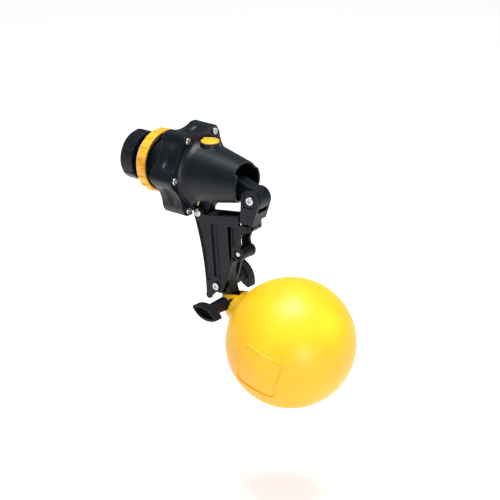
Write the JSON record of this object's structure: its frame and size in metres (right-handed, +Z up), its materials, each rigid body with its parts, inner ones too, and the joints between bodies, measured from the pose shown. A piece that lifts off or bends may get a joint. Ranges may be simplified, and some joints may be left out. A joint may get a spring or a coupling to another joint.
{
  "type": "float valve",
  "caption": "Tank float valve: threaded inlet tail with backnut, lobed body with cone outlet, pilot linkage and an adjustable arm carrying a hollow ball float.",
  "frame": {"origin": "on the valve's axis, at the seal washer's face that meets the tank wall; it lies within the inlet bore", "axes": "+X along the valve from inlet to outlet, +Z up, +Y to the far side of the linkage"},
  "size_m": [0.3067, 0.15, 0.3026],
  "materials": {
    "black_plastic": "moulded glass-filled nylon, semi-matte black",
    "yellow_plastic": "moulded plastic, golden yellow",
    "float_yellow": "blow-moulded polyethylene, bright yellow",
    "washer_grey": "pale grey sealing washer",
    "seal_rubber": "black nitrile rubber",
    "stainless": "bright stainless steel",
    "dark_steel": "blackened steel pin",
    "brass": "plain brass",
    "mesh_grey": "pale grey moulded strainer"
  },
  "bodies": {
    "valve_body": {"inlet_tail": "black_plastic", "tank_seal_washer": "washer_grey", "tail_o_ring": "seal_rubber", "inlet_strainer": "mesh_grey", "inlet_housing": "black_plastic", "cover_gasket": "seal_rubber", "chamber_cover": "black_plastic", "pilot_seal": "seal_rubber", "flange_screws": "stainless", "outlet_shroud": "black_plastic", "plug_seal": "seal_rubber", "bleed_pin": "brass", "rocker_pivot_pin": "stainless", "pilot_pivot_pin": "stainless", "piston_spring": "stainless"},
    "backnut": {"backnut": "black_plastic"},
    "union_ring": {"union_ring": "yellow_plastic"},
    "bleed_plug": {"bleed_plug": "yellow_plastic"},
    "piston": {"main_piston": "black_plastic", "piston_seal": "seal_rubber", "piston_o_ring": "seal_rubber"},
    "rocker": {"rocker_lever": "black_plastic", "arm_pivot_bolt": "stainless", "arm_pivot_nut": "stainless", "clamp_bolt": "stainless", "clamp_washer": "stainless"},
    "clamp_knob": {"clamp_knob": "black_plastic"},
    "pilot_lever": {"pilot_lever": "black_plastic"},
    "link": {"connecting_link": "black_plastic", "link_upper_screw": "stainless", "link_upper_nut": "stainless", "link_lower_pin": "dark_steel"},
    "pilot_plunger": {"pilot_plunger": "black_plastic"},
    "float_arm": {"float_arm": "black_plastic", "float_bolt": "stainless", "float_washer": "stainless"},
    "float_knob": {"float_knob": "black_plastic"},
    "float": {"float_ball": "float_yellow"}
  },
  "joints": [
    {"name": "backnut_turn", "type": "hinge", "parent": "valve_body", "child": "backnut", "pos_m": [-0.0165, 0, 0], "axis": [1, 0, 0], "continuous": true},
    {"name": "union_ring_turn", "type": "hinge", "parent": "valve_body", "child": "union_ring", "pos_m": [0.01, 0, 0], "axis": [1, 0, 0], "continuous": true},
    {"name": "bleed_plug_turn", "type": "hinge", "parent": "valve_body", "child": "bleed_plug", "pos_m": [0.085, 0, 0.037], "axis": [0, 0, 1], "continuous": true},
    {"name": "piston_slide", "type": "slide", "parent": "valve_body", "child": "piston", "axis": [1, 0, 0], "range_m": [0, 0.008], "stiffness_N_per_m": 250, "springref_m": -0.02, "deforming": ["piston_spring"]},
    {"name": "rocker_swing", "type": "hinge", "parent": "valve_body", "child": "rocker", "pos_m": [0.0759, 0, -0.0466], "axis": [0, -1, 0], "range_deg": [0, 15]},
    {"name": "pilot_lever_swing", "type": "hinge", "parent": "valve_body", "child": "pilot_lever", "pos_m": [0.098, 0, -0.006], "axis": [0, -1, 0], "range_deg": [0, 19.93]},
    {"name": "link_swing", "type": "hinge", "parent": "pilot_lever", "child": "link", "pos_m": [0.1509, 0, -0.0159], "axis": [0, -1, 0], "range_deg": [-23.03, 0]},
    {"name": "pilot_plunger_slide", "type": "slide", "parent": "valve_body", "child": "pilot_plunger", "axis": [1, 0, 0], "range_m": [-0.00315, 0]},
    {"name": "float_arm_tilt", "type": "hinge", "parent": "rocker", "child": "float_arm", "pos_m": [0.1339, 0, -0.0844], "axis": [0, -1, 0], "range_deg": [-4, 8]},
    {"name": "float_tilt", "type": "hinge", "parent": "float_arm", "child": "float", "pos_m": [0.1153, 0, -0.1492], "axis": [0, -1, 0], "range_deg": [-10, 10]},
    {"name": "clamp_knob_turn", "type": "hinge", "parent": "rocker", "child": "clamp_knob", "pos_m": [0.1027, 0.03, -0.1313], "axis": [0, 1, 0], "continuous": true},
    {"name": "float_knob_turn", "type": "hinge", "parent": "float_arm", "child": "float_knob", "pos_m": [0.1153, -0.03, -0.1492], "axis": [0, 1, 0], "continuous": true}
  ],
  "couplings": [
    {"joint": "pilot_lever_swing", "follows": "rocker_swing", "ratio": 1.3217},
    {"joint": "link_swing", "follows": "rocker_swing", "ratio": -1.5284},
    {"joint": "pilot_plunger_slide", "follows": "rocker_swing", "m_per_rad": -0.01195}
  ]
}
